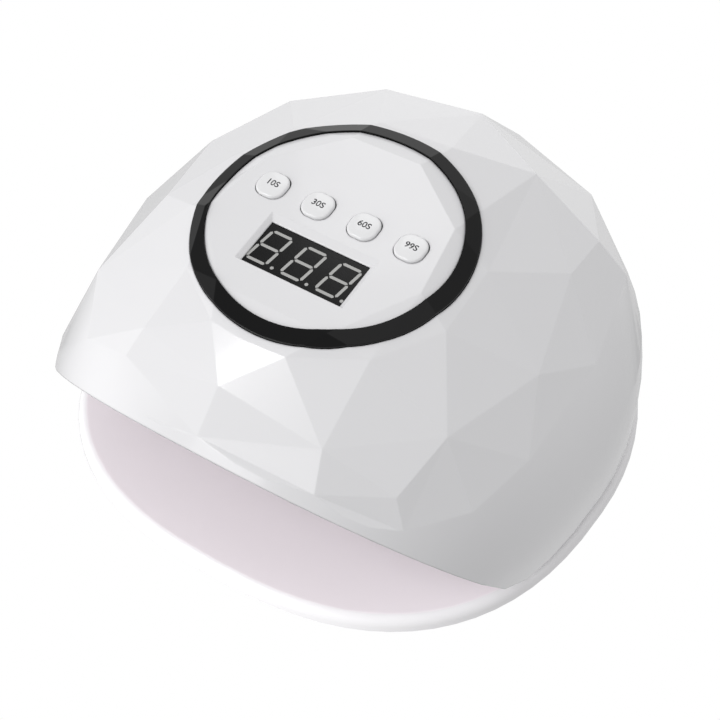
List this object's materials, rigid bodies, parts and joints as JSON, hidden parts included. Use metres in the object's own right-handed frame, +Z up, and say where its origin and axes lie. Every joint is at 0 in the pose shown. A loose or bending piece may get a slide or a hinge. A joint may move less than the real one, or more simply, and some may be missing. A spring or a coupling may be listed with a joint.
{
  "type": "uv curing lamp",
  "caption": "Desktop UV curing lamp: a faceted white hood with a round timer panel and push-buttons, standing on a flat removable tray.",
  "frame": {"origin": "on the table under the middle of the lamp, at the bottom of its rubber feet", "axes": "+Z up; the hand opening faces -Y; +X to the right of someone facing the opening; the power socket faces +Y"},
  "size_m": [0.188, 0.1917, 0.1046],
  "materials": {
    "white_shell": "injection-moulded gloss",
    "black_ring": "polished gloss",
    "white_liner": "gloss moulding",
    "display_black": "smooth face",
    "segment_grey": "frosted segments, unlit",
    "board_green": "solder mask",
    "component_black": "moulded",
    "screw_steel": "zinc plated",
    "board_white": "white solder mask",
    "lens_clear": "clear resin lens",
    "jack_black": "moulded",
    "contact_metal": "nickel plated",
    "magnet_nickel": "nickel plated",
    "sensor_dark": "dark resin",
    "wire_red": "soft insulation",
    "tray_white": "gloss rim with a satin top",
    "cover_white": "moulded",
    "foot_rubber": "soft pad",
    "button_white": "gloss cap"
  },
  "bodies": {
    "base": {"base_tray": "tray_white", "tray_cover": "cover_white", "rubber_feet": "foot_rubber", "tray_magnets": "magnet_nickel", "tray_screws": "screw_steel"},
    "hood": {"top_shell": "white_shell", "ring_trim": "black_ring", "liner": "white_liner", "display_module": "display_black", "display_segments": "segment_grey", "control_board": "board_green", "board_parts": "component_black", "switch_bodies": "component_black", "board_screws": "screw_steel", "led_board_top": "board_white", "led_board_left": "board_white", "led_board_right": "board_white", "led_board_back": "board_white", "lenses_top": "lens_clear", "lenses_left": "lens_clear", "lenses_right": "lens_clear", "lenses_back": "lens_clear", "dc_jack": "jack_black", "jack_pin": "contact_metal", "jack_contacts": "contact_metal", "hood_screws": "screw_steel", "hood_magnets": "magnet_nickel", "led_board_screws": "screw_steel", "presence_sensors": "sensor_dark", "wire_loom": "wire_red"},
    "button_10s": {"button_10s": "button_white", "plunger_10s": "component_black"},
    "button_30s": {"button_30s": "button_white", "plunger_30s": "component_black"},
    "button_60s": {"button_60s": "button_white", "plunger_60s": "component_black"},
    "button_99s": {"button_99s": "button_white", "plunger_99s": "component_black"}
  },
  "joints": [
    {"name": "hood_lift", "type": "slide", "parent": "base", "child": "hood", "axis": [0, 0, 1], "range_m": [0, 0.06]},
    {"name": "press_10s", "type": "slide", "parent": "hood", "child": "button_10s", "axis": [0, 0.1132, -0.9936], "range_m": [0, 0.0005], "stiffness_N_per_m": 400, "springref_m": -0.0005},
    {"name": "press_30s", "type": "slide", "parent": "hood", "child": "button_30s", "axis": [0, 0.1132, -0.9936], "range_m": [0, 0.0005], "stiffness_N_per_m": 400, "springref_m": -0.0005},
    {"name": "press_60s", "type": "slide", "parent": "hood", "child": "button_60s", "axis": [0, 0.1132, -0.9936], "range_m": [0, 0.0005], "stiffness_N_per_m": 400, "springref_m": -0.0005},
    {"name": "press_99s", "type": "slide", "parent": "hood", "child": "button_99s", "axis": [0, 0.1132, -0.9936], "range_m": [0, 0.0005], "stiffness_N_per_m": 400, "springref_m": -0.0005}
  ]
}
